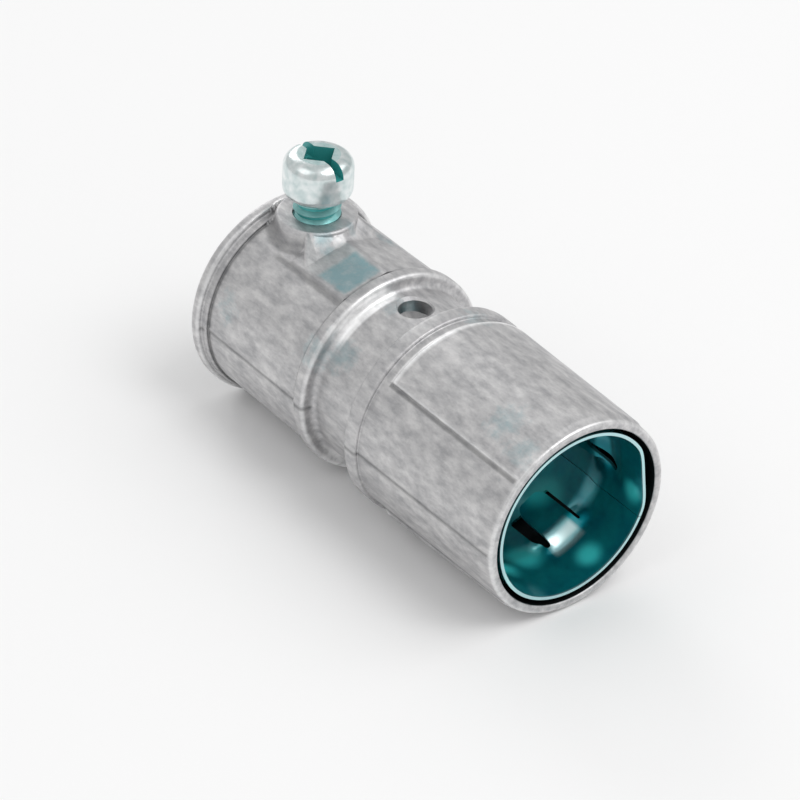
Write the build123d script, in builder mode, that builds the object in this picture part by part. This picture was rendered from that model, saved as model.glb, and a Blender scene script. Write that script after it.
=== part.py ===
"""A coupling that joins flexible metal conduit to thin-walled steel tube.

The casting has a mouth at each end. A spring-steel sleeve sits in the front one, and
its tangs hold the flexible conduit that is pushed in. The rear one takes the tube,
which a screw on top clamps. All sizes are in millimetres. The origin is the middle of
the front mouth, +X runs out of that mouth, +Z runs up along the screw, and the
casting's two halves part at z = 0. Angles round the X axis count from +Y towards +Z.
"""
import os
from math import cos, radians, sin

from build123d import *

# Lengths of the casting, from the front mouth backwards
flex_barrel_length = 26.2
shoulder_width = 2.4
shoulder_slope_length = 0.9
neck_length = 8.1
collar_width = 2.0
tube_barrel_length = 19.4
rim_step_width = 1.1
rim_width = 1.6

# Outside radii of the casting
mouth_r = 13.5
flex_barrel_rear_r = 13.8
shoulder_r = 14.3
neck_r = 12.3
collar_r = 14.2
tube_barrel_r = 13.65
rim_step_r = 14.05
rim_r = 14.75

# Bores
flex_bore_r = 12.35
flex_bore_depth = 24.0
throat_r = 10.3
tube_bore_r = 11.85
tube_bore_depth = 24.0
bore_chamfer = 0.3

# Cast details
mouth_round = 0.45
rim_round = 0.6
shoulder_round = 0.4
collar_round = 0.5
panel_front_rise = 0.2
panel_rear_rise = 0.5
panel_half_angle = 47.0
panel_front_gap = 0.8
panel_rear_gap = 1.2
panel_edge_slope = 0.9
parting_ridge_height = 0.14
parting_ridge_width = 0.3
rest_height = 13.7

# Boss for the screw, and the roof-shaped pad that runs from it to the collar
boss_from_rear = 7.0
boss_top = 15.25
boss_r = 5.35
boss_round = 0.3
pad_width = 14.0
pad_ridge_z = 14.25
pad_eave_z = 12.35
ramp_width_at_boss = 10.4
ramp_drop_at_boss = 0.05
ramp_start = 3.5
ramp_length = 3.0

# Hole in the neck through which the tube's end is seen
sight_hole_r = 2.2
sight_hole_from_collar = 4.1
sight_hole_edge = 0.4

# Set screw, standing as it is sold: wound out, with its tip clear of the tube's bore
screw_r = 3.15
thread_clearance = 0.05
screw_tip_clearance = 0.15
screw_tip_chamfer = 0.6
screw_head_r = 4.6
screw_head_height = 6.0
screw_head_lift = 2.75
head_top_round = 1.8
head_bottom_round = 1.2
slot_width = 1.2
slot_depth = 1.8
recess_width = 3.1
recess_turn = 45.0
recess_depth = 3.4

# Spring-steel sleeve
sheet = 0.5
sleeve_length = 19.0
sleeve_set_back = 0.4
sleeve_fit_clearance = 0.02
sleeve_band_r = 11.75
sleeve_band_length = 8.2
sleeve_step_length = 1.5
flat_from_angle = -21.5
flat_to_angle = 30.0
seam_angle = -22.0
seam_gap = 0.25

# Tangs lanced out of the sleeve
tang_count = 5
first_tang_angle = 12.0
tang_width = 5.2
tang_length = 6.4
tang_tilt = 24.0
tang_tip_round = 1.6
lance_slot_width = 1.0
tang_tip_gap = 0.9

# Places that follow from the sizes
flex_barrel_rear_x = -flex_barrel_length
shoulder_rear_x = flex_barrel_rear_x - shoulder_width
neck_front_x = shoulder_rear_x - shoulder_slope_length
collar_front_x = neck_front_x - neck_length
collar_rear_x = collar_front_x - collar_width
rim_step_x = collar_rear_x - tube_barrel_length
rim_x = rim_step_x - rim_step_width
rear_x = rim_x - rim_width
tube_stop_x = rear_x + tube_bore_depth
boss_x = rear_x + boss_from_rear
ramp_top_x = boss_x + ramp_start
sight_hole_x = collar_front_x + sight_hole_from_collar
screw_tip_z = tube_bore_r + screw_tip_clearance
head_bottom_z = boss_top + screw_head_lift
head_top_z = head_bottom_z + screw_head_height
sleeve_grip_r = flex_bore_r - sleeve_fit_clearance
sleeve_front_x = -sleeve_set_back
sleeve_step_x = sleeve_front_x - sleeve_band_length
sleeve_grip_x = sleeve_step_x - sleeve_step_length
sleeve_rear_x = sleeve_front_x - sleeve_length

# The casting's outline as (x, radius), from the front mouth to the rear rim
casting_outline = [
    (0, mouth_r),
    (flex_barrel_rear_x, flex_barrel_rear_r),
    (flex_barrel_rear_x, shoulder_r),
    (shoulder_rear_x, shoulder_r),
    (neck_front_x, neck_r),
    (collar_front_x, neck_r),
    (collar_front_x, collar_r),
    (collar_rear_x, collar_r),
    (collar_rear_x, tube_barrel_r),
    (rim_step_x, tube_barrel_r),
    (rim_step_x, rim_step_r),
    (rim_x, rim_step_r),
    (rim_x, rim_r),
    (rear_x, rim_r),
]


def direction(angle):
    """The unit vector at this angle round the X axis."""
    return Vector(0, cos(radians(angle)), sin(radians(angle)))


def radial_plane(angle):
    """The plane through the X axis at this angle, with X and the radius as its axes."""
    return Plane(origin=(0, 0, 0), x_dir=(1, 0, 0), z_dir=direction(angle + 90))


def tangent_plane(angle, radius):
    """The plane across the radius at this angle, with X and the tangent as its axes."""
    return Plane(origin=direction(angle) * radius, x_dir=(1, 0, 0), z_dir=direction(angle))


def corners_at(sketch, radius):
    """The sketch's corners that lie at this radius."""
    return sketch.vertices().filter_by(lambda corner: abs(corner.Y - radius) < 0.001)


def round_casting():
    """The turned form of the casting, solid, with its beads rounded."""
    with BuildPart() as form:
        with BuildSketch(Plane.XZ) as profile:
            with BuildLine():
                Polyline([(0, 0)] + casting_outline + [(rear_x, 0)], close=True)
            make_face()
            fillet(corners_at(profile, mouth_r), mouth_round)
            fillet(corners_at(profile, shoulder_r), shoulder_round)
            fillet(corners_at(profile, collar_r), collar_round)
            fillet(corners_at(profile, rim_r), rim_round)
        revolve(axis=Axis.X)
    return form.part


def raised_panel(middle_angle):
    """A field that stands proud of the flex barrel, most of all at its rear edge."""
    panel_front_x = -panel_front_gap
    panel_rear_x = flex_barrel_rear_x + panel_rear_gap
    with BuildPart() as panel:
        with BuildSketch(radial_plane(middle_angle - panel_half_angle)):
            with BuildLine():
                Polyline(
                    (panel_front_x, flex_bore_r),
                    (panel_front_x, mouth_r + panel_front_rise),
                    (panel_rear_x, flex_barrel_rear_r + panel_rear_rise),
                    (panel_rear_x - panel_edge_slope, neck_r),
                    (panel_rear_x, flex_bore_r),
                    close=True,
                )
            make_face()
        revolve(axis=Axis.X, revolution_arc=2 * panel_half_angle)
    return panel.part


def parting_ridge():
    """The fine ridge that the two halves of the mould leave along both sides."""
    side = [(x, radius + parting_ridge_height) for x, radius in casting_outline[1:-2]]
    front = (-mouth_round, mouth_r)
    back = (rim_x, rim_step_r)
    with BuildPart() as ridge:
        with BuildSketch(Plane.XY):
            with BuildLine():
                Polyline([(-mouth_round, 0), front] + side + [back, (rim_x, 0)], close=True)
            make_face()
            mirror(about=Plane.XZ)
        extrude(amount=parting_ridge_width / 2, both=True)
    return ridge.part


def screw_boss():
    """The round boss, upright on the tube barrel."""
    with BuildPart() as boss:
        with BuildSketch(Plane.XY.offset(throat_r)):
            with Locations((boss_x, 0)):
                Circle(boss_r)
        extrude(amount=boss_top - throat_r)
        fillet(boss.edges().group_by(Axis.Z)[-1], boss_round)
        split(bisect_by=Plane.YZ.offset(rim_x), keep=Keep.TOP)
    return boss.part


def roof_corners(width, ridge_z, eave_z):
    """The corners of a section across the part: a ridge in the middle, an eave each side."""
    return [
        (0, ridge_z),
        (width / 2, eave_z),
        (width / 2, throat_r),
        (-width / 2, throat_r),
        (-width / 2, eave_z),
    ]


def boss_pad():
    """The pad under the boss and on to the collar, with a flat facet on each side."""
    with BuildPart() as pad:
        with BuildSketch(Plane.YZ.offset(ramp_top_x)):
            Polygon(roof_corners(pad_width, pad_ridge_z, pad_eave_z), align=None)
        extrude(amount=collar_rear_x - ramp_top_x)
    return pad.part


def boss_ramp():
    """The ramp that runs down from the front of the boss's top to the pad."""
    ramp_top_z = boss_top - ramp_drop_at_boss
    with BuildPart() as ramp:
        with BuildSketch(Plane.YZ.offset(ramp_top_x)):
            Polygon(roof_corners(ramp_width_at_boss, ramp_top_z, ramp_top_z), align=None)
        with BuildSketch(Plane.YZ.offset(ramp_top_x + ramp_length)):
            Polygon(roof_corners(pad_width, pad_ridge_z, pad_eave_z), align=None)
        loft(ruled=True)
    return ramp.part


def sleeve_form(inset):
    """The sleeve as a solid plug, with its skin moved inwards by inset."""
    flat_middle = (flat_from_angle + flat_to_angle) / 2
    flat_half_angle = (flat_to_angle - flat_from_angle) / 2
    flat_distance = sleeve_band_r * cos(radians(flat_half_angle))
    flat_normal = direction(flat_middle) * sleeve_band_length
    flat_normal += Vector(sleeve_band_r - flat_distance, 0, 0)
    flat_start = direction(flat_middle) * flat_distance + Vector(sleeve_front_x, 0, 0)
    flat_plane = Plane(origin=flat_start, z_dir=flat_normal).offset(-inset)
    with BuildPart() as form:
        with BuildSketch(Plane.XZ):
            with BuildLine():
                Polyline(
                    (sleeve_front_x, 0),
                    (sleeve_front_x, sleeve_band_r - inset),
                    (sleeve_step_x, sleeve_band_r - inset),
                    (sleeve_grip_x, sleeve_grip_r - inset),
                    (sleeve_rear_x, sleeve_grip_r - inset),
                    (sleeve_rear_x, 0),
                    close=True,
                )
            make_face()
        revolve(axis=Axis.X)
        split(bisect_by=flat_plane, keep=Keep.BOTTOM)
    return form.part


def tang(angle):
    """One tongue of the sheet, bent inwards from its root behind the front band."""
    with BuildPart() as tongue:
        with BuildSketch(radial_plane(angle)):
            with Locations((sleeve_step_x, sleeve_band_r - sheet / 2)):
                Rectangle(tang_length, sheet, rotation=tang_tilt, align=(Align.MAX, Align.CENTER))
        extrude(amount=tang_width / 2, both=True)
        tip = tongue.faces().sort_by(Axis.X)[0]
        fillet(tip.edges().sort_by(SortBy.LENGTH)[:2], tang_tip_round)
    return tongue.part


with BuildPart() as coupling_body:
    add(round_casting())
    add(raised_panel(90))
    add(raised_panel(-90))
    add(parting_ridge())
    add(screw_boss())
    add(boss_pad())
    add(boss_ramp())
    with BuildSketch(Plane.XZ):
        with BuildLine():
            Polyline(
                (0, 0),
                (0, flex_bore_r + bore_chamfer),
                (-bore_chamfer, flex_bore_r),
                (-flex_bore_depth, flex_bore_r),
                (-flex_bore_depth, throat_r),
                (tube_stop_x, throat_r),
                (tube_stop_x, tube_bore_r),
                (rear_x + bore_chamfer, tube_bore_r),
                (rear_x, tube_bore_r + bore_chamfer),
                (rear_x, 0),
                close=True,
            )
        make_face()
    revolve(axis=Axis.X, mode=Mode.SUBTRACT)
    with Locations((boss_x, 0, boss_top)):
        Hole(radius=screw_r + thread_clearance, depth=boss_top)
    with Locations((sight_hole_x, 0, neck_r)):
        CounterSinkHole(
            radius=sight_hole_r,
            counter_sink_radius=sight_hole_r + sight_hole_edge,
            counter_sink_angle=90,
            depth=neck_r,
        )
    split(bisect_by=Plane.XY.offset(-rest_height), keep=Keep.TOP)

with BuildPart() as set_screw:
    with BuildSketch(Plane.XY.offset(screw_tip_z)):
        with Locations((boss_x, 0)):
            Circle(screw_r)
    extrude(amount=head_bottom_z - screw_tip_z)
    chamfer(set_screw.edges().group_by(Axis.Z)[0], screw_tip_chamfer)
    with BuildSketch(Plane.XY.offset(head_bottom_z)):
        with Locations((boss_x, 0)):
            Circle(screw_head_r)
    extrude(amount=screw_head_height)
    fillet(set_screw.edges().group_by(Axis.Z)[-1], head_top_round)
    head_bottom_edge = set_screw.edges().filter_by(GeomType.CIRCLE).sort_by(SortBy.RADIUS)[-2:]
    fillet(head_bottom_edge.sort_by(Axis.Z)[0], head_bottom_round)
    with BuildSketch(Plane.XY.offset(head_top_z)):
        with Locations((boss_x, 0)):
            Rectangle(2 * screw_head_r, slot_width)
    extrude(amount=-slot_depth, mode=Mode.SUBTRACT)
    with BuildSketch(Plane.XY.offset(head_top_z)):
        with Locations((boss_x, 0)):
            Rectangle(recess_width, recess_width, rotation=recess_turn)
    extrude(amount=-recess_depth, mode=Mode.SUBTRACT)

with BuildPart() as snap_sleeve:
    add(sleeve_form(0))
    add(sleeve_form(sheet), mode=Mode.SUBTRACT)
    window_front_x = sleeve_step_x - lance_slot_width / 2
    window_rear_x = sleeve_step_x - tang_length * cos(radians(tang_tilt)) - tang_tip_gap
    window_width = tang_width + 2 * lance_slot_width
    for step in range(tang_count):
        tang_angle = first_tang_angle + step * 360 / tang_count
        with BuildSketch(tangent_plane(tang_angle, throat_r)):
            with Locations(((window_front_x + window_rear_x) / 2, 0)):
                Rectangle(window_front_x - window_rear_x, window_width)
            with Locations(
                (window_front_x, (window_width - lance_slot_width) / 2),
                (window_front_x, (lance_slot_width - window_width) / 2),
            ):
                Circle(lance_slot_width / 2)
        extrude(amount=flex_bore_r - throat_r + sheet, mode=Mode.SUBTRACT)
        add(tang(tang_angle))
    with BuildSketch(tangent_plane(seam_angle, throat_r)):
        with Locations(((sleeve_front_x + sleeve_rear_x) / 2, 0)):
            Rectangle(sleeve_length, seam_gap)
    extrude(amount=flex_bore_r - throat_r + sheet, mode=Mode.SUBTRACT)

coupling_body.part.label = "coupling_body"
set_screw.part.label = "set_screw"
snap_sleeve.part.label = "snap_sleeve"

os.makedirs("parts", exist_ok=True)
export_step(coupling_body.part, "parts/coupling_body.step")
export_step(set_screw.part, "parts/set_screw.step")
export_step(snap_sleeve.part, "parts/snap_sleeve.step")
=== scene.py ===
# %% [markdown]
# A combination coupling for electrical conduit, lying on a pale table: a zinc casting, the
# set screw that stands on it, and a teal sleeve of spring steel in its front mouth. The
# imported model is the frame. It gives the sizes, the bodies and what moves, and every piece
# made here stays where the frame says. Shapes are made in millimetres and set down in metres.

# %% Load the frame
from math import atan2, cos, degrees, hypot, pi, radians, sin

import bmesh
import bpy
from mathutils import Matrix, Vector, noise


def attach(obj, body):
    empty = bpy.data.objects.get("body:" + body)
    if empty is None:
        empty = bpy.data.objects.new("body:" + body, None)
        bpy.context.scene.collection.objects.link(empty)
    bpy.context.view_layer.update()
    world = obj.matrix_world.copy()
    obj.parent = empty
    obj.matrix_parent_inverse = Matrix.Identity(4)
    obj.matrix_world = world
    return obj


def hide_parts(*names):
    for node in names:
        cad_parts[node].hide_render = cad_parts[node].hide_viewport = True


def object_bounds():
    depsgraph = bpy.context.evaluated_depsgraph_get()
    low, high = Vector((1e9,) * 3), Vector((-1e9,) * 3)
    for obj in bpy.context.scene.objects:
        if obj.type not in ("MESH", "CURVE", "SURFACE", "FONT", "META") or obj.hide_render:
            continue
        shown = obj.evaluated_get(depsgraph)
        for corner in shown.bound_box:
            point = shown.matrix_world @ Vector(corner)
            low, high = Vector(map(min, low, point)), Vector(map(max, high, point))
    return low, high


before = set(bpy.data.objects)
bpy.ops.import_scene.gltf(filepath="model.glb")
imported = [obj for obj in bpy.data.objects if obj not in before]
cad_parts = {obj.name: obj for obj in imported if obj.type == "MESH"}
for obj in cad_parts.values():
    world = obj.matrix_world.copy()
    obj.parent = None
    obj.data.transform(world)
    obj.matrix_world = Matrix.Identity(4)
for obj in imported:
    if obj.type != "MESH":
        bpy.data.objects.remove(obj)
cad_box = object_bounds()
scene = bpy.context.scene
mm = 0.001

# %% [markdown]
# The camera. The photograph was taken from above and in front of the open mouth, with a
# long lens, so the far end is only a little smaller. The camera's three directions are
# worked out from its azimuth, elevation and roll, and its place from where the middle of
# the front mouth falls in the picture and how large a millimetre is there.

# %% Camera
image_px = 800
focal_px = 3500
mouth_px = (577.8, 518.8)
px_per_mm = 8.25
azimuth, elevation, roll = radians(51.1), radians(34.6), radians(3.2)

back = Vector((sin(azimuth) * cos(elevation), -cos(azimuth) * cos(elevation), sin(elevation)))
level = Vector((cos(azimuth), sin(azimuth), 0))
upright = back.cross(level)
right = cos(roll) * level + sin(roll) * upright
up = cos(roll) * upright - sin(roll) * level
aside = (image_px / 2 - mouth_px[0]) / px_per_mm
above = (mouth_px[1] - image_px / 2) / px_per_mm
place = (aside * right + above * up + focal_px / px_per_mm * back) * mm

lens = bpy.data.cameras.new("camera")
lens.sensor_width = 36
lens.lens = focal_px / image_px * lens.sensor_width
lens.clip_start = 0.01
camera = bpy.data.objects.new("camera", lens)
camera.matrix_world = Matrix.Translation(place) @ Matrix((right, up, back)).transposed().to_4x4()
scene.collection.objects.link(camera)
scene.camera = camera
print("camera at", [round(v, 3) for v in place], "with a lens of", round(lens.lens, 1), "mm")

# %% [markdown]
# Colours are written as they look on a screen, and the shaders work with light, so one
# function turns a hex value to linear numbers. Another adds a node with its settings and
# its links, which keeps each material down to a few readable lines.


# %% Helpers for colours and nodes
def linear(hex_colour):
    """The linear colour of an sRGB hex value."""
    parts = [int(hex_colour[i:i + 2], 16) / 255 for i in (1, 3, 5)]
    return [c / 12.92 if c <= 0.04045 else ((c + 0.055) / 1.055) ** 2.4 for c in parts] + [1]


def add_node(tree, kind, inputs=None, **settings):
    """A new node. An input is a plain value, or the socket that feeds it."""
    made = tree.nodes.new(kind)
    for name, value in settings.items():
        setattr(made, name, value)
    for name, value in (inputs or {}).items():
        if isinstance(value, bpy.types.NodeSocket):
            tree.links.new(value, made.inputs[name])
        else:
            made.inputs[name].default_value = value
    return made


def new_material(name):
    """A material with a bare node tree and its output node."""
    material = bpy.data.materials.new(name)
    material.use_nodes = True
    material.node_tree.nodes.clear()
    return material, material.node_tree, add_node(material.node_tree, "ShaderNodeOutputMaterial")


# %% [markdown]
# The table is matt white card, large enough to have no edge in any view. It is a plain
# diffuse surface, so it stays white and keeps the part's shadow.

# %% Table
rest_z = cad_box[0][2]
table_half_side = 4.0

table_mesh = bpy.data.meshes.new("table")
shape = bmesh.new()
bmesh.ops.create_grid(shape, x_segments=1, y_segments=1, size=table_half_side)
bmesh.ops.translate(shape, verts=shape.verts, vec=(0, 0, rest_z))
shape.to_mesh(table_mesh)
shape.free()
table = bpy.data.objects.new("table", table_mesh)
scene.collection.objects.link(table)

table_card, tree, output = new_material("table_white_card")
card = add_node(tree, "ShaderNodeBsdfDiffuse", {"Color": linear("#F4F4F4")})
tree.links.new(card.outputs[0], output.inputs["Surface"])
table_mesh.materials.append(table_card)
print("table at z", round(rest_z, 5))

# %% [markdown]
# The light. The photograph is nearly shadowless, as under a white tent. The world stands
# for the tent and lights every side alike. Four square lamps add to it: a large one on the
# right gives the short grey shadow to the left of the part, a weaker one on the left fills
# the near side, a low one behind draws bright lines on the rims and steps, and a small one
# over the mouth reaches into the sleeve.


# %% Lamps and tent
def area_lamp(name, azimuth_deg, elevation_deg, distance, size, watts):
    """A square lamp that looks at the part from this direction."""
    lamp = bpy.data.lights.new(name, "AREA")
    lamp.size = size
    lamp.energy = watts
    a, e = radians(azimuth_deg), radians(elevation_deg)
    towards = Vector((sin(a) * cos(e), -cos(a) * cos(e), sin(e)))
    holder = bpy.data.objects.new(name, lamp)
    turn = towards.to_track_quat("Z", "Y").to_matrix().to_4x4()
    holder.matrix_world = Matrix.Translation(towards * distance) @ turn
    scene.collection.objects.link(holder)
    print(name, watts, "W")


area_lamp("lamp_back_right", 148, 56, 1.4, 1.2, 4.3)
area_lamp("lamp_front_left", -10, 50, 1.4, 0.9, 1.6)
area_lamp("lamp_low_behind", -105, 26, 1.2, 0.5, 1.6)
area_lamp("lamp_over_mouth", 106, 59, 1.2, 0.55, 3.0)

world = bpy.data.worlds.new("white_tent")
world.use_nodes = True
tent = world.node_tree.nodes["Background"]
tent.inputs["Color"].default_value = linear("#F4F4F4")
tent.inputs["Strength"].default_value = 0.72
scene.world = world
scene.view_settings.view_transform = "Standard"

# %% [markdown]
# Every piece ends the same way: its mesh, made in millimetres, is set down in metres, faces
# that meet at a soft angle are smoothed over, and it rides on its body and stands for its
# node. A cut or a join of two closed shells is a Boolean, worked out once and kept. The
# fast solver that it uses does nothing when a shell is open, so the numbers of faces that
# are printed below also tell that every step took place.


# %% Helpers for meshes
def smooth(t):
    """A soft step from 0 to 1 as t goes from 0 to 1."""
    t = min(max(t, 0), 1)
    return t * t * (3 - 2 * t)


def plain_object(name, shape):
    """An object with this mesh, still in millimetres."""
    mesh = bpy.data.meshes.new(name)
    shape.to_mesh(mesh)
    shape.free()
    thing = bpy.data.objects.new(name, mesh)
    scene.collection.objects.link(thing)
    return thing


def combine(base, other, operation):
    """Joins another closed shell to the base, or cuts it away, and removes the other."""
    step = base.modifiers.new("combine", "BOOLEAN")
    step.object = other
    step.operation = operation
    step.solver = "MANIFOLD"
    kept = bpy.data.meshes.new_from_object(base.evaluated_get(bpy.context.evaluated_depsgraph_get()))
    base.modifiers.clear()
    base.data = kept
    print(base.name, len(kept.polygons), "faces after", operation.lower(), "with the", other.name)
    bpy.data.objects.remove(other)


def finish_piece(piece, node, body, material, sharp_degrees):
    """Sets the piece down in metres and hands it to the frame in place of its node."""
    piece.data.transform(Matrix.Scale(mm, 4))
    piece.data.materials.clear()
    piece.data.materials.append(material)
    piece.data.shade_smooth()
    piece.data.set_sharp_from_angle(angle=radians(sharp_degrees))
    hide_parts(node)
    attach(piece, body)
    print(piece.name, len(piece.data.polygons), "faces, in place of", node)


# %% [markdown]
# Most shapes start from a flat outline. It is a face through a few points, whose corners
# are rounded by a bevel of their vertices. Turned round an upright axis, an outline that
# touches the axis makes a closed solid, such as a screw's head or a drill.


# %% Helpers for outlines
def outline(points):
    """A bmesh with one flat face through these points."""
    shape = bmesh.new()
    shape.faces.new([shape.verts.new(point) for point in points])
    return shape


def half_section(centre_x, r, low_z, high_z):
    """The outline of an upright cylinder, from its axis out to its radius."""
    return outline([
        (centre_x, 0, low_z), (centre_x + r, 0, low_z), (centre_x + r, 0, high_z), (centre_x, 0, high_z),
    ])


def round_corners(shape, corners, radius, segments=4):
    """Rounds the corners of a flat face that lie at these places."""
    chosen = [v for v in shape.verts if any((v.co - Vector(c)).length < 0.001 for c in corners)]
    bmesh.ops.bevel(
        shape, geom=chosen, offset=radius, offset_type="OFFSET", affect="VERTICES",
        segments=segments, profile=0.5, material=-1,
    )


def turned_solid(shape, centre_x, steps):
    """Turns a flat outline round the upright axis that it touches, into a closed solid."""
    bmesh.ops.delete(shape, geom=shape.faces[:], context="FACES_ONLY")
    on_axis = [e for e in shape.edges if all(abs(v.co.x - centre_x) < 0.001 for v in e.verts)]
    bmesh.ops.delete(shape, geom=on_axis, context="EDGES")
    bmesh.ops.spin(
        shape, geom=shape.verts[:] + shape.edges[:], cent=(centre_x, 0, 0), axis=(0, 0, 1),
        angle=2 * pi, steps=steps, use_merge=True,
    )
    bmesh.ops.remove_doubles(shape, verts=shape.verts, dist=0.0005)
    bmesh.ops.recalc_face_normals(shape, faces=shape.faces)


# %% [markdown]
# The casting. A die casting has no sharp edges: every corner is a little round, flat ends
# are nearly flat, and where the two halves of the mould met there is a fine ridge along
# both sides. Its turned form is a closed outline of the wall, spun round the long axis,
# with many fine steps over the top, where the boss and the pad are, and fewer below. Each
# corner of the outline is given with the radius that rounds it.

# %% Outline of the wall
mouth_r, barrel_rear_r, shoulder_r, neck_r, collar_r = 13.5, 13.8, 14.3, 12.3, 14.2
tube_barrel_r, rim_step_r, rim_r = 13.65, 14.05, 14.75
flex_bore_r, throat_r, tube_bore_r = 12.35, 10.3, 11.85
barrel_rear_x, shoulder_rear_x, neck_front_x = -26.2, -28.6, -29.5
collar_front_x, collar_rear_x = -37.6, -39.6
rim_step_x, rim_x, rear_x = -59.0, -60.1, -61.7
flex_stop_x, tube_stop_x = -24.0, -37.7
skin_step, bore_step = 0.4, 2.0
panel_rear_x = -25.0
panel_edge_cuts = (0.0, 0.12, 0.24, 0.36, 0.48, 0.6, 0.72)
thinnest_wall = 0.4


def on_skin(x, r):
    """Whether a point of the wall lies on the outer skin."""
    in_flex_socket, in_tube_socket = x > flex_stop_x - 0.1, x < tube_stop_x + 0.1
    bore_r = flex_bore_r if in_flex_socket else tube_bore_r if in_tube_socket else throat_r
    return r > thinnest_wall + bore_r


corner_rounds = [
    ((0, mouth_r), 0.45),
    ((barrel_rear_x, barrel_rear_r), 0.15), ((barrel_rear_x, shoulder_r), 0.3),
    ((shoulder_rear_x, shoulder_r), 0.45), ((neck_front_x, neck_r), 0.35),
    ((collar_front_x, neck_r), 0.8), ((collar_front_x, collar_r), 0.6),
    ((collar_rear_x, collar_r), 0.4), ((collar_rear_x, tube_barrel_r), 0.12),
    ((rim_step_x, tube_barrel_r), 0.12), ((rim_step_x, rim_step_r), 0.2),
    ((rim_x, rim_step_r), 0.25), ((rim_x, rim_r), 0.55), ((rear_x, rim_r), 0.55),
    ((rear_x, tube_bore_r), 0.25), ((tube_stop_x, tube_bore_r), 0.3),
    ((tube_stop_x, throat_r), 0.3), ((flex_stop_x, throat_r), 0.3),
    ((flex_stop_x, flex_bore_r), 0.3), ((0, flex_bore_r), 0.25),
]
wall = outline([(x, r, 0) for (x, r), _ in corner_rounds])
for (x, r), radius in corner_rounds:
    round_corners(wall, [(x, r, 0)], radius)
bmesh.ops.delete(wall, geom=wall.faces[:], context="FACES_ONLY")
for edge in wall.edges[:]:
    middle = (edge.verts[0].co + edge.verts[1].co) / 2
    cuts = int(edge.calc_length() / (skin_step if on_skin(middle.x, middle.y) else bore_step))
    if cuts:
        bmesh.ops.subdivide_edges(wall, edges=[edge], cuts=cuts)
for cut in panel_edge_cuts:
    bmesh.ops.bisect_plane(
        wall, geom=wall.verts[:] + wall.edges[:], plane_co=(panel_rear_x + cut, 0, 0), plane_no=(1, 0, 0),
    )
print("outline of", len(wall.verts), "points")

# %% Turn the wall
steps_over, steps_under = 200, 90
over_the_top = bmesh.ops.spin(
    wall, geom=wall.verts[:] + wall.edges[:], cent=(0, 0, 0), axis=(1, 0, 0), angle=pi, steps=steps_over,
)
bmesh.ops.spin(
    wall, geom=over_the_top["geom_last"], cent=(0, 0, 0), axis=(1, 0, 0), angle=pi, steps=steps_under,
)
bmesh.ops.remove_doubles(wall, verts=wall.verts, dist=0.0005)
bmesh.ops.recalc_face_normals(wall, faces=wall.faces)
print("casting", len(wall.faces), "faces before its details")

# %% [markdown]
# The details of the outer skin are a few tenths of a millimetre high, so they are made by
# moving its points. A raised panel lies over the top of the near barrel and another under
# it. The fine ridge runs along both sides. In front of the boss's ramp a pad with two flat
# facets runs to the collar. Every edge rises over a short distance, as a cast edge does.
# The skin is also very slightly uneven, which breaks up its reflections.

# %% Panels, parting ridge and unevenness
panel_front_x, panel_half_angle = -0.8, 47
panel_front_rise, panel_rear_rise = 0.2, 0.5
panel_side_width, panel_front_width, panel_rear_width = 0.4, 0.6, 0.7
ridge_height, ridge_half_angle, ridge_front_x = 0.12, 0.4, -0.5
wave_height, wave_length = 0.035, 5.0


def panel_inside(r, angle):
    """How far this place lies inside the long edge of the nearer panel."""
    return radians(panel_half_angle - abs(abs(angle) - 90)) * r


def panel_rise(x, r, angle):
    """How far the raised panels lift the barrel here."""
    part = smooth(panel_inside(r, angle) / panel_side_width) * smooth((panel_front_x - x) / panel_front_width)
    part *= smooth((x - panel_rear_x) / panel_rear_width)
    return part * (panel_front_rise + (panel_rear_rise - panel_front_rise) * x / panel_rear_x)


def ridge_rise(x, angle):
    """How far the parting ridge stands out here: uneven, as mould flash is."""
    if min(abs(angle), 180 - abs(angle)) < ridge_half_angle and rim_x < x < ridge_front_x:
        return ridge_height * (0.8 + 0.5 * noise.noise(Vector((x, angle, 0)) * 0.6))
    return 0


skin = [v for v in wall.verts if on_skin(v.co.x, hypot(v.co.y, v.co.z))]
for v in skin:
    x, y, z = v.co
    r, angle = hypot(y, z), degrees(atan2(z, y))
    rise = panel_rise(x, r, angle) + ridge_rise(x, angle)
    rise += wave_height * noise.noise(v.co / wave_length) * smooth(-x / 2)
    v.co.y *= (r + rise) / r
    v.co.z *= (r + rise) / r
print("skin of", len(skin), "points")

# %% Pad, and the flats that the part lies on
boss_x, boss_r, boss_top = -54.7, 5.35, 15.25
pad_half_width, pad_ridge_z, pad_eave_z = 7.0, 14.25, 12.35
pad_side_width, pad_end_width = 0.35, 0.8
ramp_top_x, ramp_foot_x = -51.2, -48.2
flat_z = rest_z / mm


def deck_height(x, y, z):
    """The height of the skin here, once the pad is laid on it."""
    height = pad_ridge_z + (pad_eave_z - pad_ridge_z) * abs(y) / pad_half_width
    part = smooth((pad_half_width - abs(y)) / pad_side_width) * smooth((x - ramp_top_x) / pad_end_width)
    return z + max(0, height - z) * part


for v in skin:
    x, y, z = v.co
    if z > 0 and rim_step_x < x < collar_rear_x and abs(y) < pad_half_width:
        v.co.z = deck_height(x, y, z)
    v.co.z = max(v.co.z, flat_z)
on_flats = sum(v.co.z < flat_z + 0.001 for v in skin)
print("pad", 2 * pad_half_width, "mm wide,", on_flats, "points on the flats")
casting = plain_object("casting", wall)

# %% [markdown]
# The boss is turned about the screw's axis. Its foot is a fillet that lands on the curved
# barrel, so each ring of it is set at a height over the barrel's skin at that place. The
# ramp in front of it is one section across the part, drawn out in two stages, with its two
# long edges rounded. Both are joined to the casting, and then the holes are cut.

# %% Boss
foot_round, top_round = 1.1, 0.4
foot_sink, buried_r = 0.3, 12.7


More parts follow.
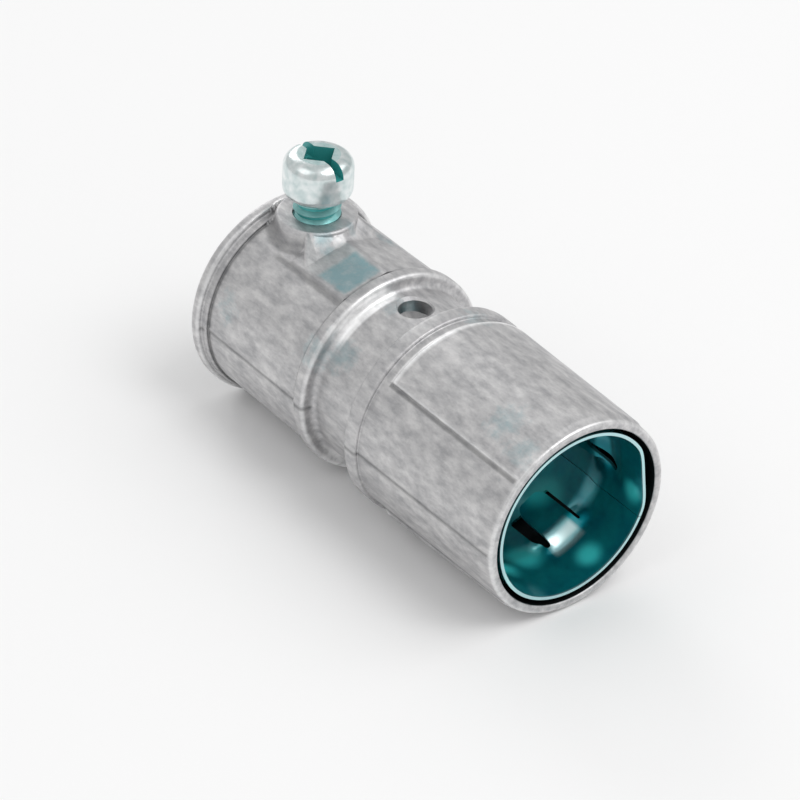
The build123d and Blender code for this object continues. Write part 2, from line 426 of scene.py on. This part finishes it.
def skin_height(x, y):
    """The height of the casting's skin at this place, without the boss."""
    skin_r = tube_barrel_r if x > rim_step_x else rim_step_r if x > rim_x else rim_r
    barrel_z = (skin_r ** 2 - y ** 2) ** 0.5
    return deck_height(x, y, barrel_z) if abs(y) < pad_half_width and x > rim_step_x else barrel_z


def next_ring(shape, ring, distance, height):
    """Extrudes a ring of edges to this distance from the axis, at the height that a rule gives."""
    made = bmesh.ops.extrude_edge_only(shape, edges=ring)["geom"]
    for v in (g for g in made if isinstance(g, bmesh.types.BMVert)):
        way = Vector((v.co.x - boss_x, v.co.y, 0)).normalized() * distance
        v.co = (boss_x + way.x, way.y, height(boss_x + way.x, way.y))
    return [g for g in made if isinstance(g, bmesh.types.BMEdge) and g.is_boundary]


boss = bmesh.new()
bmesh.ops.create_circle(boss, cap_ends=True, radius=boss_r - top_round, segments=144)
bmesh.ops.translate(boss, verts=boss.verts, vec=(boss_x, 0, boss_top))
ring = boss.edges[:]
for turn in range(18, 91, 18):
    dip = top_round * (1 - cos(radians(turn)))
    out = boss_r - top_round * (1 - sin(radians(turn)))
    ring = next_ring(boss, ring, out, lambda x, y, dip=dip: boss_top - dip)
highest_foot = boss_top - top_round - 0.05
for turn in range(0, 91, 15):
    out = boss_r + foot_round * (1 - cos(radians(turn)))
    rise = foot_round * (1 - sin(radians(turn)))
    ring = next_ring(boss, ring, out, lambda x, y, rise=rise: min(skin_height(x, y) + rise, highest_foot))
ring = next_ring(boss, ring, boss_r + foot_round, lambda x, y: skin_height(x, y) - foot_sink)
for out in (boss_r + foot_round, 4.0, 2.0, 0.5):
    ring = next_ring(boss, ring, out, lambda x, y: (buried_r ** 2 - y ** 2) ** 0.5)
bmesh.ops.contextual_create(boss, geom=ring)
bmesh.ops.recalc_face_normals(boss, faces=boss.faces)
combine(casting, plain_object("boss", boss), "UNION")

# %% Ramp
ramp_back_x, ramp_half_width, ramp_top_z = -53.4, 4.4, 15.1
ramp_back_buried_z, ramp_foot_buried_z, ramp_keel_z = 11.5, 11.0, 12.5
eave_least_y, eave_least_z, eave_round = 4, 11.9, 0.4


def ramp_section(x, half_width, ridge_z, eave_z, buried_z):
    """The corners of the ramp's section here: a ridge, two eaves and a buried underside."""
    return [
        (x, 0, ridge_z), (x, half_width, eave_z), (x, half_width, buried_z),
        (x, 0, ramp_keel_z), (x, -half_width, buried_z), (x, -half_width, eave_z),
    ]


sections = [
    ramp_section(ramp_back_x, ramp_half_width, ramp_top_z, ramp_top_z, ramp_back_buried_z),
    ramp_section(ramp_top_x, ramp_half_width, ramp_top_z, ramp_top_z, ramp_back_buried_z),
    # its foot ends just under the pad
    ramp_section(
        ramp_foot_x + 0.3, pad_half_width - 0.05, pad_ridge_z - 0.1, pad_eave_z - 0.25, ramp_foot_buried_z,
    ),
]
ramp = outline(sections[0])
end_face = ramp.faces[:]
for before, after in zip(sections, sections[1:]):
    grown = bmesh.ops.extrude_face_region(ramp, geom=end_face)["geom"]
    for v in (g for g in grown if isinstance(g, bmesh.types.BMVert)):
        number = min(range(len(before)), key=lambda n: (v.co - Vector(before[n])).length)
        v.co = after[number]
    if before is not sections[0]:
        # the face between two stages would be a wall inside the solid
        bmesh.ops.delete(ramp, geom=end_face, context="FACES_ONLY")
    end_face = [g for g in grown if isinstance(g, bmesh.types.BMFace)]
eaves = [
    e for e in ramp.edges if all(v.co.z > eave_least_z and abs(v.co.y) > eave_least_y for v in e.verts)
]
bmesh.ops.bevel(
    ramp, geom=eaves, offset=eave_round, offset_type="OFFSET", affect="EDGES",
    segments=4, profile=0.5, material=-1,
)
bmesh.ops.recalc_face_normals(ramp, faces=ramp.faces)
combine(casting, plain_object("ramp", ramp), "UNION")

# %% Holes
screw_hole_r, sight_hole_r, sight_hole_x = 3.2, 2.2, -33.5
drill_low_z, screw_drill_high_z, sight_drill_high_z = 9, 17, 14
cone_low_z, cone_high_z, cone_growth = 11.85, 12.5, 0.55
screw_hole = half_section(boss_x, screw_hole_r, drill_low_z, screw_drill_high_z)
turned_solid(screw_hole, boss_x, 96)
combine(casting, plain_object("screw_hole", screw_hole), "DIFFERENCE")
sight_edge_x = sight_hole_x + sight_hole_r
sight_hole = outline([
    (sight_hole_x, 0, drill_low_z), (sight_edge_x, 0, drill_low_z), (sight_edge_x, 0, cone_low_z),
    (sight_edge_x + cone_growth, 0, cone_high_z), (sight_edge_x + cone_growth, 0, sight_drill_high_z),
    (sight_hole_x, 0, sight_drill_high_z),
])
turned_solid(sight_hole, sight_hole_x, 96)
combine(casting, plain_object("sight_hole", sight_hole), "DIFFERENCE")
print("casting of", len(casting.data.vertices), "points")

# %% [markdown]
# As-cast zinc: liquid metal froze against the mould, and the parts were tumbled together to
# take off the flash. The skin is finely grained and a little cloudy. On its points are painted
# a highlight along its edges, where the tumbling has also left them smoother, shade in its
# corners and its bore, and a faint teal reflection, strongest on the pad's left facet. Noise
# in the material breaks up each of these.


# %% Helpers for painting
def paint(piece, name, rule):
    """Gives each point of a piece a number, by a rule of its place in millimetres."""
    layer = piece.data.attributes.new(name, "FLOAT", "POINT")
    for cell, v in zip(layer.data, piece.data.vertices):
        cell.value = rule(*v.co)
    print(name, "over", sum(cell.value > 0.1 for cell in layer.data), "points of the", piece.name)


def near(distance, width, reach=1.5):
    """1 close to a line or a place, and 0 beyond reach times the width."""
    return smooth(reach - distance / width)


# %% Where a highlight is painted on the skin's edges, which are also worn smooth
outer_corners = [(0, mouth_r), (collar_front_x, collar_r), (rim_x, rim_r), (rear_x, rim_r)]
corner_wear_and_shine, corner_width = 0.5, 0.4
rear_edge_width, long_edge_shine, long_edge_width = 1.2, 0.4, 0.7
fillet_from_angle, fillet_to_angle = 88, 150


def wear_and_highlight(x, y, z):
    """Painted highlight: 1 on the panels' rear edges and in the collar's near fillet, less on other edges, 0
    elsewhere.
    """
    r, angle = hypot(y, z), degrees(atan2(z, y))
    from_corner = min(hypot(x - corner_x, r - corner_r) for corner_x, corner_r in outer_corners)
    part = corner_wear_and_shine * near(from_corner, corner_width)
    inside = panel_inside(r, angle)
    if inside > 0.1 and panel_rear_x - 0.1 < x < panel_front_x:
        rear_edge = smooth((panel_rear_x + rear_edge_width - x) / 0.4)
        long_edge = long_edge_shine * smooth((long_edge_width - inside) / 0.3)
        part = max(part, rear_edge, long_edge)
    # a painted highlight across the upper left of the collar's near fillet
    in_collar_fillet = r < collar_r - 0.1 and abs(x - collar_front_x - 0.4) < 0.9
    if in_collar_fillet:
        fillet = smooth((abs(angle) - fillet_from_angle) / 12) * smooth((fillet_to_angle - abs(angle)) / 20)
        part = max(part, fillet)
    return part


paint(casting, "wear_and_highlight", wear_and_highlight)

# %% Where shade is painted on the skin and in the bore
dark_corners = [(neck_front_x, neck_r), (collar_rear_x, tube_barrel_r), (rim_step_x, tube_barrel_r)]
foot_ring_r, foot_low_z, foot_high_z, eave_low_z = 5.9, 11.5, 14.2, 11
corner_dark, foot_dark, eave_dark, panel_dark, ridge_dark = 0.5, 0.35, 0.35, 0.45, 0.5


def painted_shade(x, y, z):
    """Painted shade: 1 in the front bore, up to a half in the corners of the skin, round the boss's foot and
    beside its edges, 0 on the open skin.
    """
    r, angle = hypot(y, z), degrees(atan2(z, y))
    if r < flex_bore_r + 0.2:
        return 1 if -0.2 > x > flex_stop_x - 0.1 else 0
    from_corner = min(hypot(x - corner_x, r - corner_r) for corner_x, corner_r in dark_corners)
    if from_corner < 0.5:
        return corner_dark * near(from_corner, 0.33)
    from_foot = abs(hypot(x - boss_x, y) - foot_ring_r)
    if x < ramp_top_x and from_foot < 0.9 and foot_low_z < z < foot_high_z:
        return foot_dark * near(from_foot, 0.6)
    from_eave = abs(abs(y) - pad_half_width - 0.1)
    if boss_x < x < collar_rear_x - 0.2 and z > eave_low_z and from_eave < 0.5:
        return eave_dark * near(from_eave, 0.33) * smooth((x - boss_x) / 2)
    from_panel = abs(panel_inside(r, angle) + 0.2)
    if panel_rear_x < x < panel_front_x and from_panel < 0.5:
        return panel_dark * near(from_panel, 0.3, 1.4)
    below_ridge = min(abs(angle), 180 - abs(angle)) * radians(r)
    if z < 0 and rim_x < x < ridge_front_x - 0.1:
        return ridge_dark * near(abs(below_ridge - 0.45), 0.25, 1.6)
    return 0


paint(casting, "painted_shade", painted_shade)

# %% Where a teal reflection is painted: place along, angle round, size and strength
teal_reflection_places = [
    (-38.6, 150, 3.0, 0.34), (-35.6, 142, 3.4, 0.36), (-35.9, 98, 2.6, 0.3), (-7.4, 117, 3.2, 0.36),
    (-2.6, 124, 2.6, 0.36), (-25.5, 76, 2.6, 0.3), (-49.4, 101, 2.0, 0.5), (-50.6, 84, 1.6, 0.4),
    (-48.0, 60, 3.0, 0.3), (-15.0, 30, 4.0, 0.3), (-56.0, 160, 3.0, 0.28),
]
facet_x, facet_y, facet_low_z = -43.0, -3.3, 11
facet_half_length, facet_half_width, facet_part = 2.3, 2.4, 0.75


def painted_teal_reflection(x, y, z):
    """How much painted teal reflection lies on this place: most on the pad's left facet."""
    r, angle = hypot(y, z), degrees(atan2(z, y)) % 360
    past_ends, past_sides = abs(x - facet_x) - facet_half_length, abs(y - facet_y) - facet_half_width
    on_facet = facet_part * near(max(past_ends, past_sides, facet_low_z - z, 0), 0.9, 1)
    return max(on_facet, max(
        part * near(hypot(x - place_x, radians(angle - place_angle) * r), size, 1.3)
        for place_x, place_angle, size, part in teal_reflection_places
    ))


paint(casting, "painted_teal_reflection", painted_teal_reflection)

# %% [markdown]
# In the material, two sizes of noise give the cloudy skin and its grain. The clouds are
# drawn out along the part, as metal flows in the mould. Clouds of 1.2 mm are coarser than
# the real frosting, which would be too fine to show. Where the highlight is painted, the
# metal is paler and smoother and scatters more light, so its metallic value goes down there.

# %% As-cast zinc: patterns
cast_zinc, tree, output = new_material("as_cast_zinc")
grain_mm, cloud_mm, reflection_noise_mm = 0.45, 1.2, 1.3
flow_stretch = (0.45, 1.0, 1.0)
spot = add_node(tree, "ShaderNodeTexCoord").outputs["Object"]
along = add_node(tree, "ShaderNodeMapping", {"Vector": spot, "Scale": flow_stretch}).outputs["Vector"]
clouds = add_node(tree, "ShaderNodeTexNoise", {
    "Vector": along, "Scale": 1 / (cloud_mm * mm), "Detail": 7.0, "Roughness": 0.64,
}).outputs["Fac"]
grain = add_node(tree, "ShaderNodeTexNoise", {
    "Vector": spot, "Scale": 1 / (grain_mm * mm), "Detail": 4.0, "Roughness": 0.6,
}).outputs["Fac"]
reflection_noise = add_node(tree, "ShaderNodeTexNoise", {
    "Vector": spot, "Scale": 1 / (reflection_noise_mm * mm), "Detail": 4.0, "Roughness": 0.65,
}).outputs["Fac"]
tone = add_node(tree, "ShaderNodeValToRGB", {"Fac": clouds})
low_end, high_end = tone.color_ramp.elements
low_end.position, low_end.color = 0.32, linear("#ACACAE")
high_end.position, high_end.color = 0.68, linear("#D9D8D8")
print("patterns of", grain_mm, "mm,", cloud_mm, "mm and", reflection_noise_mm, "mm")

# %% As-cast zinc: painted reflection, painted highlight and painted shade
reflection_mark = add_node(tree, "ShaderNodeAttribute", attribute_name="painted_teal_reflection").outputs["Fac"]
reflection_and_noise = add_node(tree, "ShaderNodeMath", {0: reflection_mark, 1: reflection_noise}, operation="ADD")
reflection_amount = add_node(tree, "ShaderNodeMapRange", {
    "Value": reflection_and_noise.outputs[0], "From Min": 0.66, "From Max": 1.3, "To Max": 0.9,
})
# painted teal reflection, mixed in as a teal grey
with_reflection = add_node(tree, "ShaderNodeMix", {
    "Factor": reflection_amount.outputs["Result"], "A": tone.outputs["Color"], "B": linear("#93B2B8"),
}, data_type="RGBA")
bright = add_node(tree, "ShaderNodeAttribute", attribute_name="wear_and_highlight").outputs["Fac"]
patchy = add_node(tree, "ShaderNodeMapRange", {
    "Value": clouds, "From Min": 0.3, "From Max": 0.6, "To Min": 0.55,
})
wear_and_shine_part = add_node(
    tree, "ShaderNodeMath", {0: bright, 1: patchy.outputs["Result"]}, operation="MULTIPLY",
).outputs[0]
# painted highlight: the edges are mixed towards near white
with_wear_and_shine = add_node(tree, "ShaderNodeMix", {
    "Factor": wear_and_shine_part, "A": with_reflection.outputs["Result"], "B": linear("#FAFAFA"),
}, data_type="RGBA")
# painted shade: the bore and the corners are mixed towards near black
dark = add_node(tree, "ShaderNodeAttribute", attribute_name="painted_shade").outputs["Fac"]
with_dark = add_node(tree, "ShaderNodeMix", {
    "Factor": dark, "A": with_wear_and_shine.outputs["Result"], "B": linear("#2A2D2E"),
}, data_type="RGBA")
print(len(tree.nodes), "nodes up to the colour")

# %% As-cast zinc: surface
rough = add_node(tree, "ShaderNodeMapRange", {"Value": grain, "To Min": 0.38, "To Max": 0.62})
metal = add_node(tree, "ShaderNodeMapRange", {
    "Value": wear_and_shine_part, "From Min": 0.45, "From Max": 1.0, "To Min": 1.0, "To Max": 0.35,
})
smoother = add_node(tree, "ShaderNodeMix", {"Factor": wear_and_shine_part, "A": rough.outputs["Result"], "B": 0.3})
bump = add_node(tree, "ShaderNodeBump", {"Height": grain, "Strength": 0.3, "Distance": 0.07 * mm})
soft_bump = add_node(tree, "ShaderNodeBump", {
    "Height": clouds, "Strength": 0.4, "Distance": 0.2 * mm, "Normal": bump.outputs["Normal"],
})
skin_shader = add_node(tree, "ShaderNodeBsdfPrincipled", {
    "Base Color": with_dark.outputs["Result"], "Metallic": metal.outputs["Result"],
    "Roughness": smoother.outputs["Result"], "Normal": soft_bump.outputs["Normal"],
})
tree.links.new(skin_shader.outputs[0], output.inputs["Surface"])
finish_piece(casting, "coupling_body", "coupling", cast_zinc, 38)

# %% [markdown]
# The set screw, wound out as it is sold. Its head is turned, with a slot for a blade and a
# square recess for a square driver, which are two blocks cut away. Its thread is one
# V-shaped profile, spun up along the axis by one pitch for each turn, and closed at both
# ends. The thread and a short tip are joined to the head, so the screw is one closed solid.

# %% Head of the screw
head_r, head_bottom_z, head_top_z = 4.6, 18.0, 24.0
head_bottom_round, head_top_round = 1.4, 1.8
slot_width, slot_depth, recess_width, recess_depth = 1.2, 1.8, 3.5, 3.4

head = half_section(boss_x, head_r, head_bottom_z, head_top_z)
round_corners(head, [(boss_x + head_r, 0, head_bottom_z)], head_bottom_round, 8)
round_corners(head, [(boss_x + head_r, 0, head_top_z)], head_top_round, 10)
turned_solid(head, boss_x, 128)
screw = plain_object("screw", head)
cuts = [
    ("slot", 2.4 * head_r, slot_width, slot_depth, 0),
    ("recess", recess_width, recess_width, recess_depth, 45),
]
for name, width_x, width_y, depth, turn in cuts:
    block = bmesh.new()
    bmesh.ops.create_cube(block, size=1)
    bmesh.ops.scale(block, verts=block.verts, vec=(width_x, width_y, 2 * depth))
    bmesh.ops.rotate(block, verts=block.verts, matrix=Matrix.Rotation(radians(turn), 3, "Z"))
    bmesh.ops.translate(block, verts=block.verts, vec=(boss_x, 0, head_top_z))
    combine(screw, plain_object(name, block), "DIFFERENCE")

# %% Thread and tip
thread_r, thread_root_r, pitch = 3.15, 2.6, 1.27
thread_steps, thread_turns = 64, 5
tip_z, tip_length, tip_round = 12.0, 1.5, 0.5
thread_start_z = tip_z + 0.1
tip_r = thread_root_r + 0.03
v_profile = [
    (thread_root_r, 0), (thread_root_r, 0.14), (thread_r, 0.56),
    (thread_r, 0.70), (thread_root_r, 1.12), (thread_root_r, pitch),
]

thread = bmesh.new()
points = [thread.verts.new((boss_x + r, 0, thread_start_z + rise)) for r, rise in v_profile]
for low, high in zip(points, points[1:]):
    thread.edges.new((low, high))
bmesh.ops.spin(
    thread, geom=thread.verts[:] + thread.edges[:], cent=(boss_x, 0, 0), axis=(0, 0, 1),
    dvec=(0, 0, pitch / thread_steps), angle=2 * pi * thread_turns, steps=thread_steps * thread_turns,
)
bmesh.ops.remove_doubles(thread, verts=thread.verts, dist=0.001)
bmesh.ops.holes_fill(thread, edges=[e for e in thread.edges if e.is_boundary], sides=0)
bmesh.ops.recalc_face_normals(thread, faces=thread.faces)
combine(screw, plain_object("thread", thread), "UNION")

tip = half_section(boss_x, tip_r, tip_z, tip_z + tip_length)
round_corners(tip, [(boss_x + tip_r, 0, tip_z)], tip_round)
turned_solid(tip, boss_x, 72)
combine(screw, plain_object("tip", tip), "UNION")

# %% [markdown]
# The screw is steel with bright zinc plating and a pale blue passivation: a near-white
# metal with small sharp highlights, and teal where its walls reflect each other in the
# recess and between the threads. That teal reflection is painted, a number on each face.

# %% Where a teal reflection is painted on the screw
# a little over half the diagonal of the recess
recess_reach = recess_width * 0.71
crest_teal, top_teal = 0.75, 0.3


def painted_teal_part(x, y, z):
    """How much painted teal reflection a face with its middle here has: most in the slot, the recess and the
    thread.
    """
    from_top = head_top_z - z
    in_slot = abs(y) < slot_width / 2 + 0.01 and 0.01 < from_top < slot_depth + 0.01
    in_recess = abs(x - boss_x) + abs(y) < recess_reach and 0.01 < from_top < recess_depth + 0.01
    if in_slot or in_recess:
        return 1
    if z < head_bottom_z - 0.3:
        return 1 if hypot(x - boss_x, y) < thread_root_r + 0.1 else crest_teal
    return top_teal if from_top < 0.01 else 0


# the attribute named film holds the painted teal reflection of each face
teal_layer = screw.data.attributes.new("film", "FLOAT", "FACE")
for cell, face in zip(teal_layer.data, screw.data.polygons):
    cell.value = painted_teal_part(*face.center)
print("film over", sum(cell.value > 0.5 for cell in teal_layer.data), "faces")

# %% Zinc-plated steel
plated, tree, output = new_material("zinc_plated_steel")
mottle_mm = 1.2
spot = add_node(tree, "ShaderNodeTexCoord").outputs["Object"]
mottle = add_node(tree, "ShaderNodeTexNoise", {"Vector": spot, "Scale": 1 / (mottle_mm * mm), "Detail": 4.0})
tone = add_node(tree, "ShaderNodeValToRGB", {"Fac": mottle.outputs["Fac"]})
low_end, high_end = tone.color_ramp.elements
low_end.position, low_end.color = 0.3, linear("#C2D2D2")
high_end.position, high_end.color = 0.7, linear("#F0F4F4")
# painted teal reflection, mixed in by each face's number
film = add_node(tree, "ShaderNodeAttribute", attribute_name="film").outputs["Fac"]
with_film = add_node(tree, "ShaderNodeMix", {
    "Factor": film, "A": tone.outputs["Color"], "B": linear("#46A8A6"),
}, data_type="RGBA")
metal = add_node(tree, "ShaderNodeMapRange", {"Value": film, "To Min": 1.0, "To Max": 0.3})
bump = add_node(tree, "ShaderNodeBump", {
    "Height": mottle.outputs["Fac"], "Strength": 0.2, "Distance": 0.05 * mm,
})
skin_shader = add_node(tree, "ShaderNodeBsdfPrincipled", {
    "Base Color": with_film.outputs["Result"], "Metallic": metal.outputs["Result"], "Roughness": 0.26,
    "Normal": bump.outputs["Normal"],
})
tree.links.new(skin_shader.outputs[0], output.inputs["Surface"])
finish_piece(screw, "set_screw", "screw", plated, 34)

# %% [markdown]
# The sleeve is a strip of spring steel, punched flat and rolled up, so it is made the same
# way: a flat slab is cut into small squares, the slots round its tangs are punched out of
# it, and its points are then rolled round the axis. The rule for the rolling also presses
# the flat and the step into it and bends the tangs inwards.

# %% Cut the strip
sheet = 0.42
sleeve_front_x, sleeve_rear_x = -0.4, -19.4
band_r, grip_r = 11.7, 12.33
seam_angle, seam_gap = -22.0, 0.08
square_side = 0.3
degree = radians(1) * band_r
sleeve_length = sleeve_front_x - sleeve_rear_x
strip_length = 360 * degree - seam_gap
strip_middle = (seam_angle * degree) + seam_gap / 2 + strip_length / 2

slab = bmesh.new()
bmesh.ops.create_grid(
    slab, x_segments=int(sleeve_length / square_side), y_segments=int(strip_length / square_side), size=0.5,
)
bmesh.ops.scale(slab, verts=slab.verts, vec=(sleeve_length, strip_length, 1))
bmesh.ops.translate(slab, verts=slab.verts, vec=((sleeve_front_x + sleeve_rear_x) / 2, strip_middle, 0))
raised = bmesh.ops.extrude_face_region(slab, geom=slab.faces[:])["geom"]
upper = [g for g in raised if isinstance(g, bmesh.types.BMVert)]
bmesh.ops.translate(slab, verts=upper, vec=(0, 0, sheet))
bmesh.ops.recalc_face_normals(slab, faces=slab.faces)
sleeve = plain_object("sleeve", slab)
print("strip", len(sleeve.data.polygons), "faces, length", round(strip_length, 1), "mm")

# %% Punch the slots
tang_count, first_tang_angle, tang_half_width = 5, 12, 2.6
wide_slot, narrow_slot = 0.85, 0.4
slot_front_x, tang_tip_x, slot_rear_x = -7.8, -14.7, -15.6
punch_over = 0.3


def punch(corners, rounds):
    """A closed punch with this outline, which goes right through the sheet."""
    tool = outline([(x, s, -punch_over) for x, s in corners])
    for number, radius in rounds:
        x, s = corners[number]
        round_corners(tool, [(x, s, -punch_over)], radius)
    raised = bmesh.ops.extrude_face_region(tool, geom=tool.faces[:])["geom"]
    upper = [g for g in raised if isinstance(g, bmesh.types.BMVert)]
    bmesh.ops.translate(tool, verts=upper, vec=(0, 0, sheet + 2 * punch_over))
    bmesh.ops.recalc_face_normals(tool, faces=tool.faces)
    return plain_object("punch", tool)


tang_angles = [first_tang_angle + number * 360 / tang_count for number in range(tang_count)]
side, below, above = tang_half_width, tang_half_width + wide_slot, tang_half_width + narrow_slot
for angle in tang_angles:
    s = angle * degree
    corners = [
        (slot_front_x, s - below), (slot_front_x, s - side), (tang_tip_x, s - side),
        (tang_tip_x, s + side), (slot_front_x, s + side), (slot_front_x, s + above),
        (slot_rear_x, s + above), (slot_rear_x, s - below),
    ]
    rounds = [(0, 0.48), (1, 0.48), (4, 0.23), (5, 0.23), (2, 1.4), (3, 1.4), (6, 0.4), (7, 0.5)]
    if angle == first_tang_angle:
        # beside the flat the slot slants: it starts nearer the mouth and climbs
        slant = [(-6.2, -1.15), (-5.7, -0.35), (-7.2, 1.1), (-8.8, 2.15), (-11.0, 2.8), (tang_tip_x, 3.0)]
        corners = slant + corners[3:7] + [(slot_rear_x, 2.0), (-11.2, 1.8), (-9.2, 1.15), (-7.6, 0.0)]
        rounds = [(0, 0.4), (1, 0.4), (2, 0.8), (3, 0.8), (5, 0.9), (6, 1.4), (7, 0.23), (8, 0.23), (9, 0.4)]
    combine(sleeve, punch(corners, rounds), "DIFFERENCE")

# %% Roll the strip
flat_angle, flat_distance, flat_reach = 8.5, 11.0, 60
flat_slope, flat_end_x, flat_end_slope = 0.03, -4.6, 0.36
bend_x, bend_length, bend_drop = -6.4, 3.2, 1.35
lean_x, lean, curl_x, curl = -9.6, 0.05, -11.5, 0.045
stiff_part, stiff_width = 0.85, 2.6
grip_x = -11.5
crease = 0.14


def soft_least(a, b):
    """The smaller of two lengths, with the crease where they cross rounded off."""
    low, high = min(a, b), max(a, b)
    return low - crease * max(0, 1 - (high - low) / (4 * crease)) ** 2


def turn_between(angle, other):
    """The turn from the other angle to this one, from -180 to 180 degrees."""
    return (angle - other + 180) % 360 - 180


def from_tang(angle):
    """How far round the sleeve this is from the middle of the nearest tang, in millimetres."""
    return min((turn_between(angle, tang) for tang in tang_angles), key=abs) * degree


def outer_radius(x, angle):
    """The radius of the sleeve's outer face at this place, before the flat is pressed."""
    from_slot = abs(from_tang(angle)) - tang_half_width
    bend = bend_drop * smooth((bend_x - x) / bend_length)
    if from_slot < 0.05 and x > slot_rear_x + 0.4:
        return band_r - bend - lean * max(0, lean_x - x) - curl * max(0, curl_x - x) ** 2
    drawn_in = bend * (1 - stiff_part * smooth(from_slot / stiff_width))
    to_grip = smooth((slot_front_x + 0.6 - x) / (slot_front_x + 0.6 - grip_x))
    return (band_r - drawn_in) * (1 - to_grip) + grip_r * to_grip


for v in sleeve.data.vertices:
    x, s, depth = v.co
    angle = s / degree
    r = outer_radius(x, angle)
    from_flat = turn_between(angle, flat_angle)
    if abs(from_flat) < flat_reach:
        pressed = flat_distance + flat_slope * -x + flat_end_slope * max(0, flat_end_x - x)
        r = soft_least(r, pressed / cos(radians(from_flat)))
    v.co = (x, (r - depth) * cos(radians(angle)), (r - depth) * sin(radians(angle)))
rolled = bmesh.new()
rolled.from_mesh(sleeve.data)
bmesh.ops.recalc_face_normals(rolled, faces=rolled.faces)
print("rolled sleeve, open edges", sum(not e.is_manifold for e in rolled.edges))
rolled.to_mesh(sleeve.data)
rolled.free()

# %% [markdown]
# The sleeve is hardened spring steel, zinc plated and then passivated to a deep teal. The
# film is clear over a smooth metal, so it is dark where it mirrors the inside of the bore.
# Where it catches the tent, a bright teal highlight is painted on a few places, and an almost
# white highlight is painted on the cut front edge and across the bends of the tangs.

# %% Where white and teal highlights are painted
# places of painted teal highlight: place along, angle round, size and strength
teal_highlight_places = [
    (-3.4, -61, 2.0, 1.0), (-2.4, -9, 1.8, 1.0), (-9.0, -92, 2.8, 1.0), (-7.4, -115, 2.4, 0.9),
    (-15.0, -50, 3.0, 1.0), (-2.0, -150, 2.5, 0.7), (-3.0, 120, 3.0, 0.7), (-4.0, 50, 2.8, 0.8),
]
front_edge_highlight, highlight_near_flat = 0.6, 0.15
highlight_front_x, highlight_rear_x, highlight_low_side, highlight_high_side = -5.8, -9.8, -3.4, 2.1


def painted_white_highlight(x, y, z):
    """Painted white highlight: 1 on the tangs' bends, less on the sleeve's front edge, 0 elsewhere."""
    if x > sleeve_front_x - 0.05:
        return front_edge_highlight
    angle = degrees(atan2(z, y))
    aside = from_tang(angle)
    on_bend = smooth((highlight_front_x - x) / 0.9) * smooth((x - highlight_rear_x) / 1.2)
    on_bend *= smooth((aside - highlight_low_side) / 0.6) * smooth((highlight_high_side - aside) / 0.7)
    near_flat = -10 < angle < 40
    return on_bend * (highlight_near_flat if near_flat else 1)


def painted_teal_highlight(x, y, z):
    """How much painted teal highlight lies here: most in the middle of each place, 0 away from them."""
    angle = degrees(atan2(z, y))
    return max(
        part * near(hypot(x - place_x, turn_between(angle, place_angle) * degree), size, 1.3)
        for place_x, place_angle, size, part in teal_highlight_places
    )


paint(sleeve, "painted_white_highlight", painted_white_highlight)
paint(sleeve, "painted_teal_highlight", painted_teal_highlight)

# %% Teal passivated spring steel
teal, tree, output = new_material("teal_passivated_spring_steel")
film_mm = 3.0
spot = add_node(tree, "ShaderNodeTexCoord").outputs["Object"]
film = add_node(tree, "ShaderNodeTexNoise", {"Vector": spot, "Scale": 1 / (film_mm * mm), "Detail": 3.0})
tone = add_node(tree, "ShaderNodeValToRGB", {"Fac": film.outputs["Fac"]})
low_end, high_end = tone.color_ramp.elements
low_end.position, low_end.color = 0.35, linear("#0894A4")
high_end.position, high_end.color = 0.65, linear("#18B0B8")
vivid = add_node(tree, "ShaderNodeAttribute", attribute_name="painted_teal_highlight").outputs["Fac"]
# painted teal highlight, bright and less metallic on the listed places
with_vivid = add_node(tree, "ShaderNodeMix", {
    "Factor": vivid, "A": tone.outputs["Color"], "B": linear("#4CEBEA"),
}, data_type="RGBA")
pale = add_node(tree, "ShaderNodeAttribute", attribute_name="painted_white_highlight").outputs["Fac"]
# painted white highlight on the tangs' bends and the front edge
with_pale = add_node(tree, "ShaderNodeMix", {
    "Factor": pale, "A": with_vivid.outputs["Result"], "B": linear("#E2FAFA"),
}, data_type="RGBA")
metal = add_node(tree, "ShaderNodeMapRange", {"Value": vivid, "To Min": 0.8, "To Max": 0.35})
bump = add_node(tree, "ShaderNodeBump", {
    "Height": film.outputs["Fac"], "Strength": 0.15, "Distance": 0.1 * mm,
})
skin_shader = add_node(tree, "ShaderNodeBsdfPrincipled", {
    "Base Color": with_pale.outputs["Result"], "Metallic": metal.outputs["Result"], "Roughness": 0.3,
    "Normal": bump.outputs["Normal"], "Coat Weight": 1.0, "Coat Roughness": 0.12,
})
tree.links.new(skin_shader.outputs[0], output.inputs["Surface"])
finish_piece(sleeve, "snap_sleeve", "coupling", teal, 35)

# %% [markdown]
# Last, the frame's own box is printed. What is made here may not be larger than the
# frame, and the frame checks every piece.

# %% The frame's box
print("cad box", [[round(v, 4) for v in c] for c in cad_box])
